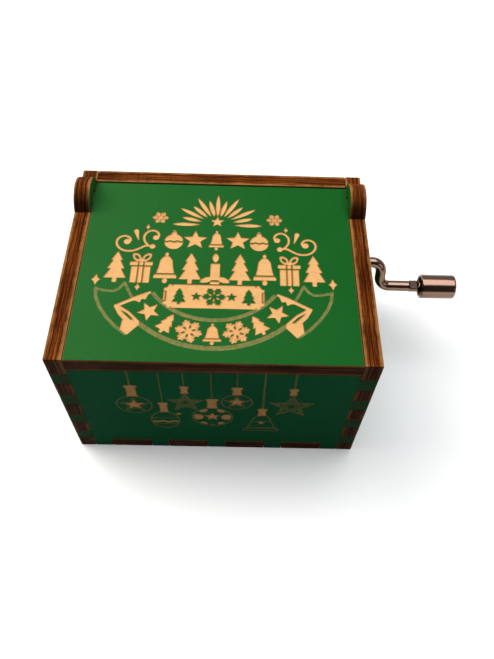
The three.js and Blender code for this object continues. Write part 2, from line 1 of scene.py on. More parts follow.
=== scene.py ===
import json
from math import cos, pi, radians, sin
import bmesh
import bpy
import numpy as np
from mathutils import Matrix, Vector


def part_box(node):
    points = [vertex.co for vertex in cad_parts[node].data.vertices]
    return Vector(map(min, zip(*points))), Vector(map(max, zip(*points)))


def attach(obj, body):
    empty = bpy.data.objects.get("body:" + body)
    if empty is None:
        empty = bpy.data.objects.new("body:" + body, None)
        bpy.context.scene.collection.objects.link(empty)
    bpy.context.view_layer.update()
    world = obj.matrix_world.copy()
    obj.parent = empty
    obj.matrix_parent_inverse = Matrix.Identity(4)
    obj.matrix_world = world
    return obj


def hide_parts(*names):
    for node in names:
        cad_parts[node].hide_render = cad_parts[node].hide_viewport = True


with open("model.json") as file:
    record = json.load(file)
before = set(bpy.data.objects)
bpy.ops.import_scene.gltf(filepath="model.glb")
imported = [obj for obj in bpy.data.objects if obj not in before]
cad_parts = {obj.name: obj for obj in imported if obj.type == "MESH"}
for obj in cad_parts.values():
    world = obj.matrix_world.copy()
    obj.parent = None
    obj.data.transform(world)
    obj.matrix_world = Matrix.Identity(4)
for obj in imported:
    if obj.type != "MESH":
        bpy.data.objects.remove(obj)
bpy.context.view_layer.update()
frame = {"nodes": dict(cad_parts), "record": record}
nodes = frame["nodes"]
record = frame["record"]
scene = bpy.context.scene
scene.view_settings.view_transform = "Standard"

mm = 0.001
slotOf = {row["node"]: row["material_slot"] for row in record["subparts"]}
bodyOf = {node: body for body, held in record["behaviour"]["bodies"].items() for node in held}
jointPlace = {joint["name"]: joint["pos_m"] for joint in record["behaviour"]["joints"]}


# node helpers

def newMaterial(name):
    material = bpy.data.materials.new(name)
    material.use_nodes = True
    return material, material.node_tree, material.node_tree.nodes["Principled BSDF"]


def put(tree, kind, settings=None, **sockets):
    node = tree.nodes.new(kind)
    for key, value in (settings or {}).items():
        setattr(node, key, value)
    for key, value in sockets.items():
        target = node.inputs[int(key[1:])] if key[0] == "i" and key[1:].isdigit() else node.inputs[key]
        if isinstance(value, bpy.types.NodeSocket):
            tree.links.new(value, target)
        else:
            target.default_value = value
    return node


def math(tree, operation, a, b=0.0, clamp=False):
    return put(tree, "ShaderNodeMath", {"operation": operation, "use_clamp": clamp}, i0=a, i1=b).outputs[0]


def remap(tree, value, low, high, toLow=0.0, toHigh=1.0, smooth=False):
    kind = "SMOOTHSTEP" if smooth else "LINEAR"
    ends = {"i1": low, "i2": high, "i3": toLow, "i4": toHigh}
    node = put(tree, "ShaderNodeMapRange", {"interpolation_type": kind}, i0=value, **ends)
    return node.outputs[0]


def blendColour(tree, share, a, b, mode="MIX"):
    node = tree.nodes.new("ShaderNodeMix")
    node.data_type = "RGBA"
    node.blend_type = mode
    for socket, value in ((node.inputs[0], share), (node.inputs[6], a), (node.inputs[7], b)):
        if isinstance(value, bpy.types.NodeSocket):
            tree.links.new(value, socket)
        else:
            socket.default_value = value
    return node.outputs[2]


def ramp(tree, value, stops, constant=False):
    node = put(tree, "ShaderNodeValToRGB", None, Fac=value)
    band = node.color_ramp
    band.interpolation = "CONSTANT" if constant else "LINEAR"
    while len(band.elements) < len(stops):
        band.elements.new(0.5)
    for element, (place, colour) in zip(band.elements, stops):
        element.position = place
        element.color = (*colour, 1)
    return node.outputs[0]


def noiseAt(tree, vector, scale, detail=3.0, roughness=0.55):
    grain = {"Scale": scale, "Detail": detail, "Roughness": roughness}
    return put(tree, "ShaderNodeTexNoise", None, Vector=vector, **grain).outputs[0]


def stretched(tree, vector, factors):
    return put(tree, "ShaderNodeMapping", None, Vector=vector, Scale=factors).outputs[0]


def bumpFrom(tree, height, strength, distance):
    return put(tree, "ShaderNodeBump", None, Height=height, Strength=strength, Distance=distance).outputs[0]


# camera, lamps and floor

camera = {
    "place": (3.983, -85.654, 140.911),  # mm
    "turn": (33.672, -1.541, 0.511),  # degrees
    "lens": 34.498,
}


def placeCamera():
    data = bpy.data.cameras.new("viewCamera")
    data.lens = camera["lens"]
    data.clip_start = 0.005
    eye = bpy.data.objects.new("viewCamera", data)
    eye.location = [v * mm for v in camera["place"]]
    eye.rotation_euler = [radians(a) for a in camera["turn"]]
    scene.collection.objects.link(eye)
    scene.camera = eye


placeCamera()
print("camera placed")

studio = {
    "floorHalf": 1.5,  # m
    "floorColour": (0.95, 0.95, 0.945, 1),
    "horizon": (0.88, 0.88, 0.885, 1),
    "zenith": (0.70, 0.74, 0.80, 1),
    "frontShade": 0.12,  # share of the surround's light left towards the front
    "surroundStrength": 0.50,
    "lamps": {  # place, target, size in m, watts, colour
        "backLeft": ((-0.44, 0.22, 0.50), (0, 0, 0.03), 0.60, 5.6, (1.0, 0.965, 0.91)),
        "overhead": ((0.10, 0.02, 0.72), (0, 0, 0.03), 0.66, 4.2, (0.97, 0.985, 1.0)),
        "rightFill": ((0.42, -0.34, 0.20), (0.02, 0, 0.02), 0.20, 0.20, (1.0, 0.93, 0.86)),
    },
}


def makeStudio():
    half = studio["floorHalf"]
    mesh = bpy.data.meshes.new("studioFloor")
    corners = [(-half, -half, 0), (half, -half, 0), (half, half, 0), (-half, half, 0)]
    mesh.from_pydata(corners, [], [(0, 1, 2, 3)])
    floor = bpy.data.objects.new("studioFloor", mesh)
    paint, tree, shader = newMaterial("studioFloor")
    shader.inputs["Base Color"].default_value = studio["floorColour"]
    shader.inputs["Roughness"].default_value = 0.9
    mesh.materials.append(paint)
    scene.collection.objects.link(floor)
    world = bpy.data.worlds.new("studioSurround")
    world.use_nodes = True
    tree = world.node_tree
    around = put(tree, "ShaderNodeTexCoord").outputs["Generated"]
    way = put(tree, "ShaderNodeSeparateXYZ", None, Vector=around)
    sky = blendColour(tree, remap(tree, way.outputs[2], 0.0, 0.75), studio["horizon"], studio["zenith"])
    shade = remap(tree, way.outputs[1], -0.55, 0.35, studio["frontShade"], 1.0, smooth=True)
    tree.links.new(sky, tree.nodes["Background"].inputs["Color"])
    strength = math(tree, "MULTIPLY", shade, studio["surroundStrength"])
    tree.links.new(strength, tree.nodes["Background"].inputs["Strength"])
    scene.world = world
    for name, (place, target, size, watts, colour) in studio["lamps"].items():
        data = bpy.data.lights.new(name, "AREA")
        data.size = size
        data.energy = watts
        data.color = colour
        lamp = bpy.data.objects.new(name, data)
        lamp.location = place
        aim = np.subtract(target, place)
        lamp.rotation_euler = (
            np.arctan2(np.hypot(aim[0], aim[1]), -aim[2]),
            0,
            np.arctan2(aim[1], aim[0]) - pi / 2,
        )
        scene.collection.objects.link(lamp)


makeStudio()
print("studio lit")


# plywood: painted faces, scorched edges with the veneers showing

plyLook = {
    # paint and paintDeep are the paler and deeper ends of the green paint; besides random clouds they serve
    # as painted light, the paler end for the lit left and the deeper for the right
    "paint": (0.0154, 0.0975, 0.0185),
    "paintDeep": (0.0025, 0.0740, 0.0080),
    # painted shade: the front panel's paint is a darker copy of the green paint, standing for the shade on
    # the front
    "frontShadedPaint": (0.0003, 0.0460, 0.0150),
    "frontShadedPaintDeep": (0.0002, 0.0380, 0.0120),
    "carved": (0.62, 0.345, 0.136),
    "carvedDark": (0.47, 0.225, 0.075),
    "carvedRim": (0.30, 0.120, 0.030),
    "scorchedLine": (0.205, 0.170, 0.055),
    "cloudsAndPaintedLight": (-30, 30),  # mm, painted light: the paint goes from paler at the left, where the light falls, to deeper at the right
    "frontEdgeShade": 0.26,  # painted shade: how bright the cut edges that face the front are kept, beside the others
    "edgeGloss": 0.02,
    "frontGloss": 0.01,
    "frontCarvingShade": 0.40,  # painted shade: how bright the front panel's carving is, beside the lid's
    "thickness": 3.5,
    "veneers": [  # share of the thickness, colour
        (0.00, (0.290, 0.130, 0.0400)),
        (0.11, (0.270, 0.115, 0.0320)),
        (0.16, (0.150, 0.042, 0.0065)),
        (0.24, (0.130, 0.028, 0.0030)),
        (0.28, (0.026, 0.005, 0.0008)),
        (0.33, (0.155, 0.036, 0.0036)),
        (0.46, (0.120, 0.024, 0.0024)),
        (0.51, (0.020, 0.004, 0.0006)),
        (0.56, (0.160, 0.037, 0.0040)),
        (0.70, (0.105, 0.020, 0.0022)),
        (0.75, (0.018, 0.0035, 0.0006)),
        (0.79, (0.130, 0.032, 0.0045)),
        (0.86, (0.230, 0.088, 0.0230)),
        (1.00, (0.290, 0.135, 0.0440)),
    ],
}


# noise drawn out along some axes: one scale across the sheet, another in its plane
def sheetNoise(tree, here, axis, across, along, detail=3.0, roughness=0.55):
    scales = [along] * 3
    scales[axis] = across
    return noiseAt(tree, stretched(tree, here, scales), 1.0, detail, roughness)


# share across the sheet = (coordinate - low) / thickness, with a wobble; the faces with green paint are where
# the object normal lies along that axis, and everything else is cut edge, with painted shade making it darker
# where it faces the front; the common paint is paler at the left and deeper at the right as painted light
def plywood(name, axis, low, paint, paintDeep, carving=0.0, gloss=0.04):
    material, tree, shader = newMaterial(name)
    place = put(tree, "ShaderNodeTexCoord")
    here = place.outputs["Object"]
    split = put(tree, "ShaderNodeSeparateXYZ", None, Vector=here)
    facing = put(tree, "ShaderNodeSeparateXYZ", None, Vector=place.outputs["Normal"])
    flat = remap(tree, math(tree, "ABSOLUTE", facing.outputs[axis]), 0.80, 0.97, smooth=True)

    wobble = sheetNoise(tree, here, axis, 60.0, 330.0)
    share = remap(tree, split.outputs[axis], low * mm, (low + plyLook["thickness"]) * mm)
    share = math(tree, "ADD", share, remap(tree, wobble, 0.3, 0.7, -0.05, 0.05))
    layers = ramp(tree, share, plyLook["veneers"])
    streaks = sheetNoise(tree, here, axis, 3900.0, 95.0, 4.0, 0.62)
    core = remap(tree, math(tree, "ABSOLUTE", math(tree, "SUBTRACT", share, 0.5)), 0.47, 0.36, 0.25, 1.0)
    dark = remap(tree, streaks, 0.47, 0.63, 0.0, 0.86)
    layers = blendColour(tree, math(tree, "MULTIPLY", dark, core), layers, (0.018, 0.0040, 0.0006, 1))
    layers = blendColour(tree, remap(tree, streaks, 0.45, 0.32, 0.0, 0.62), layers, (0.27, 0.098, 0.022, 1))
    kerf = sheetNoise(tree, here, axis, 70.0, 3600.0, 2.0)
    dark = remap(tree, kerf, 0.50, 0.75, 0.0, 0.40)
    layers = blendColour(tree, math(tree, "MULTIPLY", dark, core), layers, (0.022, 0.005, 0.0008, 1))
    soot = noiseAt(tree, here, 75.0, 2.0)
    dark = remap(tree, soot, 0.45, 0.70, 0.0, 0.45)
    layers = blendColour(tree, math(tree, "MULTIPLY", dark, core), layers, (0.016, 0.0035, 0.0006, 1))

    # painted shade: cut edges facing the front are blended towards near black, standing for the shade there
    front = remap(tree, facing.outputs[1], -0.20, -0.75, 0.0, 1.0 - plyLook["frontEdgeShade"])
    layers = blendColour(tree, front, layers, (0.002, 0.0008, 0.0004, 1))

    clouds = noiseAt(tree, here, 48.0, 2.0)
    mottle = noiseAt(tree, here, 900.0, 4.0, 0.6)
    cloudsAndPaintedLight = remap(tree, clouds, 0.32, 0.68)
    # painted light: on the common paint the share of deep paint rises from left to right over the span above,
    # added to the random clouds
    if paint == plyLook["paint"]:
        across = remap(tree, split.outputs[0], *[edge * mm for edge in plyLook["cloudsAndPaintedLight"]])
        across = math(tree, "MULTIPLY", across, 0.8)
        cloudsAndPaintedLight = math(tree, "ADD", math(tree, "MULTIPLY", cloudsAndPaintedLight, 0.25), across, clamp=True)
    skin = blendColour(tree, cloudsAndPaintedLight, paint + (1,), paintDeep + (1,))
    worn = [c * 0.62 for c in paint] + [1]
    skin = blendColour(tree, remap(tree, mottle, 0.52, 0.75, 0.0, 0.22), skin, worn)
    specks = noiseAt(tree, here, 3600.0, 1.0)
    pale = [min(1, c * 2.2 + 0.02) for c in paint] + [1]
    skin = blendColour(tree, remap(tree, specks, 0.72, 0.80, 0.0, 0.22), skin, pale)
    rough = remap(tree, mottle, 0.3, 0.7, 0.50, 0.62)
    relief = math(tree, "MULTIPLY", mottle, 0.5)
    if carving:
        carvedColours = ("carved", "carvedDark", "carvedRim", "scorchedLine")
        # the carved colours and the fumed edge are scaled by carving; below one, as on the front panel, that
        # is painted shade
        tone = {key: [c * carving for c in plyLook[key]] + [1] for key in carvedColours}
        deep = put(tree, "ShaderNodeAttribute", {"attribute_name": "carvedDistance"}).outputs["Fac"]
        thin = put(tree, "ShaderNodeAttribute", {"attribute_name": "scorchedDistance"}).outputs["Fac"]
        edge = put(tree, "ShaderNodeAttribute", {"attribute_name": "edgeDistance"}).outputs["Fac"]
        grain = noiseAt(tree, stretched(tree, here, (700.0, 4600.0, 4600.0)), 1.0, 3.0)
        wood = remap(tree, grain, 0.42, 0.72, 0.0, 0.50)
        wood = blendColour(tree, wood, tone["carved"], tone["carvedDark"])
        blotch = noiseAt(tree, here, 330.0, 2.0)
        wood = blendColour(tree, remap(tree, blotch, 0.5, 0.75, 0.0, 0.30), wood, tone["carvedDark"])
        rim = remap(tree, deep, -0.22, -0.03, 0.0, 0.62, smooth=True)
        wood = blendColour(tree, rim, wood, tone["carvedRim"])
        inDeep = remap(tree, deep, -0.05, 0.04, 1.0, 0.0, smooth=True)
        patchy = remap(tree, noiseAt(tree, here, 1500.0, 2.0), 0.35, 0.65, 0.55, 1.0)
        inThin = math(tree, "MULTIPLY", remap(tree, thin, -0.07, 0.06, 0.9, 0.0, smooth=True), patchy)
        fume = remap(tree, edge, -0.32, -0.02, 0.0, 0.70, smooth=True)
        fume = math(tree, "MULTIPLY", fume, remap(tree, blotch, 0.3, 0.7, 0.35, 1.0))
        skin = blendColour(tree, fume, skin, [c * carving for c in (0.040, 0.022, 0.006)] + [1])
        skin = blendColour(tree, inThin, skin, tone["scorchedLine"])
        skin = blendColour(tree, inDeep, skin, wood)
        rough = blendColour(tree, inDeep, rough, (0.85, 0.85, 0.85, 1))
        relief = math(tree, "ADD", relief, math(tree, "MULTIPLY", math(tree, "MULTIPLY", grain, inDeep), 0.8))
    colour = blendColour(tree, flat, layers, skin)
    roughness = blendColour(tree, flat, remap(tree, streaks, 0.3, 0.7, 0.50, 0.80), rough)
    height = blendColour(tree, flat, math(tree, "ADD", streaks, math(tree, "MULTIPLY", kerf, 0.5)), relief)
    tree.links.new(colour, shader.inputs["Base Color"])
    tree.links.new(roughness, shader.inputs["Roughness"])
    tree.links.new(bumpFrom(tree, height, 0.45, 0.00012), shader.inputs["Normal"])
    shine = remap(tree, flat, 0.0, 1.0, plyLook["edgeGloss"], gloss)
    tree.links.new(shine, shader.inputs["Specular IOR Level"])
    return material


# metals

metalLook = {  # colour, roughness, stretch of the tool marks along X, Y, Z, marks' depth, tarnish
    "cast_zinc": ((0.42, 0.42, 0.41), (0.38, 0.60), (900.0, 900.0, 900.0), 0.5, 0.55),
    "spring_steel": ((0.42, 0.43, 0.45), (0.20, 0.36), (160.0, 5200.0, 900.0), 0.2, 0.45),
    "bracket_steel": ((0.50, 0.50, 0.49), (0.26, 0.42), (3000.0, 260.0, 260.0), 0.2, 0.55),
    "screw_steel": ((0.58, 0.58, 0.59), (0.16, 0.30), (1200.0, 1200.0, 1200.0), 0.12, 0.40),
    "nickel": ((0.270, 0.165, 0.122), (0.15, 0.21), (1500.0, 140.0, 140.0), 0.03, 0.22),
    "brass": ((0.68, 0.44, 0.14), (0.22, 0.38), (300.0, 6200.0, 300.0), 0.22, 0.55),
    "soft_lead": ((0.17, 0.175, 0.185), (0.50, 0.70), (1400.0, 1400.0, 1400.0), 0.5, 0.55),
}


# tool marks = noise stretched along one way, colour and roughness follow the marks and a broad tarnish noise
def metal(slot):
    colour, roughness, marks, depth, dulled = metalLook[slot]
    material, tree, shader = newMaterial(slot + "Finish")
    here = put(tree, "ShaderNodeTexCoord").outputs["Object"]
    lines = noiseAt(tree, stretched(tree, here, marks), 1.0, 4.0, 0.6)
    tarnish = noiseAt(tree, here, 260.0, 3.0)
    aged = [c * 0.62 for c in colour] + [1]
    scored = [c * 0.72 for c in colour] + [1]
    tone = blendColour(tree, remap(tree, tarnish, 0.35, 0.75, 0.0, dulled), (*colour, 1), aged)
    tone = blendColour(tree, remap(tree, lines, 0.45, 0.75, 0.0, dulled * 0.5), tone, scored)
    tree.links.new(tone, shader.inputs["Base Color"])
    tree.links.new(remap(tree, lines, 0.3, 0.7, *roughness), shader.inputs["Roughness"])
    tree.links.new(bumpFrom(tree, lines, depth, 0.00003), shader.inputs["Normal"])
    shader.inputs["Metallic"].default_value = 1.0
    return material


metals = {slot: metal(slot) for slot in metalLook}
print("metals mixed")


# flat distances: negative inside a shape, zero on its outline, in mm

# circle: |p - c| - r
def disc(x, y, cx, cy, r):
    return np.hypot(x - cx, y - cy) - r


# bar: distance to the segment from a to b, less a half-width that runs from ra to rb
def bar(x, y, a, b, ra, rb=None):
    rb = ra if rb is None else rb
    dx, dy = b[0] - a[0], b[1] - a[1]
    t = np.clip(((x - a[0]) * dx + (y - a[1]) * dy) / (dx * dx + dy * dy), 0, 1)
    return np.hypot(x - a[0] - t * dx, y - a[1] - t * dy) - (ra + t * (rb - ra))


# stroke: the nearest of the bars between following points
def stroke(x, y, points, widths):
    widths = np.broadcast_to(widths, (len(points),))
    return np.minimum.reduce(
        [bar(x, y, points[i], points[i + 1], widths[i], widths[i + 1]) for i in range(len(points) - 1)]
    )


# slab: distance to a box of half-sizes hx, hy with corners of radius r
def slab(x, y, cx, cy, hx, hy, r=0.0):
    qx = np.abs(x - cx) - hx + r
    qy = np.abs(y - cy) - hy + r
    return np.hypot(np.maximum(qx, 0), np.maximum(qy, 0)) + np.minimum(np.maximum(qx, qy), 0) - r


# polygon: distance to the nearest side, signed by whether a ray to +x crosses the sides an odd
# number of times
def polygon(x, y, points):
    points = np.asarray(points, float)
    distance = np.full(x.shape, 1e9)
    inside = np.zeros(x.shape, bool)
    for (ax, ay), (bx, by) in zip(points, np.roll(points, -1, axis=0)):
        dx, dy = bx - ax, by - ay
        t = np.clip(((x - ax) * dx + (y - ay) * dy) / (dx * dx + dy * dy), 0, 1)
        distance = np.minimum(distance, np.hypot(x - ax - t * dx, y - ay - t * dy))
        crosses = (ay > y) != (by > y)
        inside ^= crosses & (x < dx * (y - ay) / (dy if dy else 1e-9) + ax)
    return np.where(inside, -distance, distance)


# leaf: the overlap of two discs whose outlines meet at (0, +-half)
def leaf(x, y, half, width):
    r = (half * half + width * width) / (2 * width)
    return np.maximum(disc(x, y, width - r, 0, r), disc(x, y, r - width, 0, r))


def mirrored(points):
    return points + [(-px, py) for px, py in reversed(points) if px != 0]


def turned(x, y, angle):
    return x * cos(angle) + y * sin(angle), y * cos(angle) - x * sin(angle)


# ornaments, drawn one unit high about (0, 0)

def fir(x, y):
    side = [(0, 0.52), (0.19, 0.22), (0.115, 0.22), (0.28, -0.06), (0.17, -0.06), (0.36, -0.36),
            (0.075, -0.36), (0.075, -0.5)]
    return polygon(x, y, mirrored(side))


def bell(x, y):
    side = [(0, 0.40), (0.10, 0.37), (0.20, 0.25), (0.235, 0.02), (0.28, -0.15), (0.37, -0.27),
            (0.37, -0.345)]
    body = polygon(x, y, mirrored(side))
    groove = np.abs(y + 0.20) - 0.018
    knobAndClapper = [disc(x, y, 0, 0.45, 0.065), disc(x, y, 0, -0.42, 0.085)]
    return np.minimum.reduce([np.maximum(body, -groove), *knobAndClapper])


def giftBox(x, y):
    box = np.minimum(slab(x, y, 0, -0.235, 0.31, 0.265), slab(x, y, 0, 0.12, 0.37, 0.062))
    ribbon = np.abs(np.abs(x) - 0.085) - 0.018
    ax = np.abs(x)
    u, v = turned(ax - 0.16, y - 0.33, -0.9)
    loop = np.maximum(leaf(u, v, 0.19, 0.115), -leaf(u, v, 0.10, 0.045))
    return np.minimum.reduce([np.maximum(box, -ribbon), loop, disc(x, y, 0, 0.225, 0.06)])


def candle(x, y):
    ax = np.abs(x)
    u, v = turned(ax - 0.21, y + 0.36, 1.15)
    wax = slab(x, y, 0, -0.10, 0.125, 0.27, 0.03)
    flame = leaf(x, y - 0.36, 0.155, 0.085)
    return np.minimum.reduce([wax, flame, leaf(u, v, 0.19, 0.085), slab(x, y, 0, -0.46, 0.12, 0.045)])


def star(x, y, points=5, inner=0.215):
    angles = pi / 2 + np.arange(2 * points) * pi / points
    reach = np.where(np.arange(2 * points) % 2 == 0, 0.5, inner)
    return polygon(x, y, np.stack([reach * np.cos(angles), reach * np.sin(angles)], 1))


def bauble(x, y):
    wave = 0.055 * (np.abs(((x * 7) % 2) - 1) - 0.5)
    band = np.abs(y + 0.09 + wave) - 0.03
    ball = np.maximum(disc(x, y, 0, -0.10, 0.385), -band)
    loop = np.abs(disc(x, y, 0, 0.425, 0.05)) - 0.022
    return np.minimum.reduce([ball, slab(x, y, 0, 0.32, 0.11, 0.055, 0.02), loop])


# six arms: the angle is folded into one sixth, so one arm with its barbs is drawn once
def crystal(x, y, weight=0.05):
    r = np.hypot(x, y)
    a = np.abs((np.arctan2(y, x) + pi / 6) % (pi / 3) - pi / 6)
    u, v = r * np.cos(a), r * np.sin(a)
    arm = bar(u, v, (0, 0), (0.5, 0), weight)
    thinner = weight * 0.8
    inner, outer = ((0.2, 0), (0.33, 0.13)), ((0.33, 0), (0.44, 0.11))
    barbs = np.minimum(bar(u, v, *inner, thinner), bar(u, v, *outer, thinner))
    return np.minimum(arm, barbs)


# one ornament standing at (cx, cy), height tall, its foot turned by angle
def standing(ornament, x, y, cx, cy, height, angle=0.0, squeeze=1.0):
    u, v = turned((x - cx), (y - cy), angle)
    return ornament(u / height / squeeze, v / height) * height * min(1.0, squeeze)


# lid and front panel: carved height fields on grids whose lines fall on the panel's own steps

lidArt = {
    "outline": (-28.38, 28.36, -25.5, 21.6),  # left, right, front, rear
    "middle": -0.6,
    "fan": {"centre": 9.5, "rays": 13, "long": 9.2, "short": 7.6, "from": 2.5, "width": 0.50},
    "star": {"y": 10.4, "height": 3.3},
    "crystals": {"x": 12.45, "y": 11.3, "height": 3.2},
    "upperRow": {"y": 5.0, "height": 5.5, "pitch": 4.55, "of": [bauble, star, bell, star, bauble]},
    "lowerRow": {"y": -2.75, "height": 8.1, "pitch": 5.12,
                 "of": [fir, giftBox, bell, fir, candle, fir, bell, giftBox, fir]},
    "squeeze": {fir: 0.80, giftBox: 0.80, bell: 0.80, bauble: 0.96},
    "plaque": {"y": -9.95, "halfWidth": 10.2, "halfHeight": 2.95,
               "of": [(fir, 0, 7.0, 3.9), (star, 0, 3.55, 2.3), (crystal, 0, 0, 4.3)]},
    "ribbon": {"y": -0.6, "inner": 15.1, "outer": 21.6, "line": 0.40,
               "of": [star, fir, crystal, bell, crystal, fir, star], "height": 4.9, "pitch": 14.6},
    "diamonds": [(15.6, -7.9, 2.2), (24.2, -6.2, 3.2)],
}


def diamond(x, y):
    return polygon(x, y, mirrored([(0, 0.5), (0.12, 0.16), (0.30, 0), (0.12, -0.16), (0, -0.5)]))


# a rounder run through the points: corners are cut to quarter and three-quarter points, twice
def smoothed(points):
    points = np.asarray(points, float)
    for _ in range(2):
        cut = np.stack([0.75 * points[:-1] + 0.25 * points[1:], 0.25 * points[:-1] + 0.75 * points[1:]], 1)
        points = np.concatenate([points[:1], cut.reshape(-1, 2), points[-1:]])
    return points


def heavyCrystal(x, y):
    return crystal(x, y, 0.062)


def lidDistances(x, y):
    art = lidArt
    mx = x - art["middle"]
    ax = np.abs(mx)
    deep = []
    thin = []
    fan = art["fan"]
    for i in range((fan["rays"] + 1) // 2):
        a = radians(90 - i * 180 / (fan["rays"] - 1))
        flatness = cos(a) ** 2
        start = fan["from"] + 0.9 * flatness
        end = (fan["long"] if i % 2 == 0 else fan["short"]) * (1 + 0.065 * flatness)
        s = ax * cos(a) + (y - fan["centre"]) * sin(a)
        t = y * cos(a) - ax * sin(a) - fan["centre"] * cos(a)
        share = np.clip((s - start) / (end - start), 0, 1)
        half = fan["width"] * np.sin(pi * np.maximum(share, 1e-6) ** (0.9 + 0.35 * flatness)) ** 0.8
        deep.append(np.maximum(np.abs(t) - half, np.maximum(start - s, s - end)))
    deep.append(standing(star, mx, y, 0, art["star"]["y"], art["star"]["height"]))
    flakes = art["crystals"]
    deep.append(standing(heavyCrystal, ax, y, flakes["x"], flakes["y"], flakes["height"]))

    for row in (art["upperRow"], art["lowerRow"]):
        for i, ornament in enumerate(row["of"]):
            cx = (i - (len(row["of"]) - 1) / 2) * row["pitch"]
            squeeze = art["squeeze"].get(ornament, 1.0)
            deep.append(standing(ornament, mx, y, cx, row["y"], row["height"], 0, squeeze))

    plaque = art["plaque"]
    w, h = plaque["halfWidth"], plaque["halfHeight"]
    py = y - plaque["y"]
    plate = np.maximum(slab(mx, py, 0, 0, w, h, 0.6), -disc(ax, np.abs(py), w, h, 0.95))
    inner = np.abs(disc(ax, np.abs(py), w, h, 1.75)) - 0.10
    inner = np.maximum(inner, -slab(mx, py, 0, 0, w - 0.35, h - 0.35))
    inner = np.minimum(inner, np.maximum(np.abs(ax - w + 0.45) - 0.10, np.abs(py) - h + 1.7))
    cuts = [inner]
    for ornament, lift, cx, height in plaque["of"]:
        for side in ((-1, 1) if cx else (1,)):
            cuts.append(standing(ornament, mx, py, side * cx, lift, height))
    deep.append(np.maximum(plate, -np.minimum.reduce(cuts)))

    ribbon = art["ribbon"]
    line = ribbon["line"]
    ry = y - ribbon["y"]
    r = np.hypot(mx, ry)
    off = np.degrees(np.arctan2(ax, -ry))
    thin.append(np.maximum(np.abs(r - ribbon["inner"]) - line - 0.04, (off - 55) * 0.3))
    thin.append(np.maximum(np.abs(r - ribbon["outer"]) - line - 0.12, (off - 42) * 0.37))
    tail = [(16.7, -19.3), (18.9, -17.6), (20.9, -15.4), (22.6, -12.9), (23.6, -10.5), (23.9, -8.4)]
    thin.append(stroke(ax, y, tail, line * 0.85))
    swallow = [(23.9, -8.5), (21.9, -9.0), (20.2, -9.1), (19.2, -8.5), (18.2, -6.9), (17.2, -9.0),
               (16.1, -11.0)]
    thin.append(stroke(ax, y, swallow, line * 0.75))
    deep.append(stroke(ax, y, [(19.3, -12.7), (15.0, -10.3), (12.9, -9.2)], [0.36, 0.42, 0.30]))
    wedge = [(16.6, -11.4), (14.4, -9.9), (13.0, -9.4), (13.6, -11.0), (14.4, -10.9), (14.7, -11.9),
             (15.4, -11.4)]
    deep.append(polygon(ax, y, wedge))
    deep.append(stroke(ax, y, [(19.3, -12.7), (18.3, -14.4), (15.9, -16.9)], [0.42, 0.50, 0.60]))
    deep.append(stroke(ax, y, [(18.7, -12.9), (16.6, -14.3), (14.6, -16.4)], [0.36, 0.30, 0.34]))
    deep.append(polygon(ax, y, [(17.7, -16.0), (15.2, -15.9), (14.1, -16.9), (16.4, -19.5), (17.9, -18.3)]))
    for i, ornament in enumerate(ribbon["of"]):
        a = radians((i - (len(ribbon["of"]) - 1) / 2) * ribbon["pitch"])
        place = (18.35 * sin(a), ribbon["y"] - 18.35 * cos(a))
        shape = heavyCrystal if ornament is crystal else ornament
        deep.append(standing(shape, mx, y, place[0], place[1], ribbon["height"], a))

    for cx, cy, height in art["diamonds"]:
        deep.append(standing(diamond, ax, y, cx, cy, height))
    curl = [(13.3, 2.9), (14.8, 3.3), (16.2, 2.3), (17.4, 1.65), (18.7, 1.5), (20.0, 1.9), (21.0, 3.0),
            (21.25, 4.3), (20.7, 5.4), (19.6, 5.85), (18.5, 5.4), (18.2, 4.5)]
    deep.append(stroke(ax, y, smoothed(curl), 0.27))
    deep.append(disc(ax, y, 18.95, 4.15, 0.78))
    deep.append(disc(ax, y, 13.5, 2.95, 0.66))
    hook = [(14.5, 3.3), (15.35, 4.4), (15.55, 5.8), (15.0, 7.0), (13.9, 7.55), (12.8, 7.2), (12.3, 6.3),
            (12.5, 5.6)]
    deep.append(stroke(ax, y, smoothed(hook), 0.27))
    deep.append(disc(ax, y, 12.95, 5.45, 0.70))
    deep.append(stroke(ax, y, [(16.6, 4.7), (17.3, 7.2)], [0.12, 0.56]))
    deep.append(standing(diamond, ax, y, 14.9, 8.45, 1.9))
    return np.minimum.reduce(deep), np.minimum.reduce(thin)


frontArt = {  # x, z of the ornament's middle, radius, z of its cap's top
    "starBauble": (-17.0, 21.2, 3.7, 29.8),
    "bandBauble": (-11.0, 14.2, 3.1, 22.4),
    "smallStar": (-6.2, 22.6, 3.9, 29.6),
    "bigBauble": (-0.7, 16.0, 4.3, 24.4),
    "secondStarBauble": (4.5, 23.2, 3.2, 29.8),
    "bell": (10.0, 13.4, 3.9, 20.4),
    "bigStar": (16.0, 21.7, 4.9, 29.4),
    "line": 0.18,
    "string": 0.14,
    "bandTall": 1.25,  # the band bauble is this much taller than wide
}


# cap: a collar on the ornament, a narrower neck and a wider flared top under the string
def cap(x, z, cx, foot, top, half):
    neck = slab(x, z, cx, (foot + top) / 2, half * 0.76, (top - foot) / 2, 0.1)
    collar = slab(x, z, cx, foot + 0.4, half * 0.9, 0.40, 0.12)
    flare = slab(x, z, cx, top - 0.55, half, 0.50, 0.12)
    return np.minimum.reduce([neck, collar, flare])


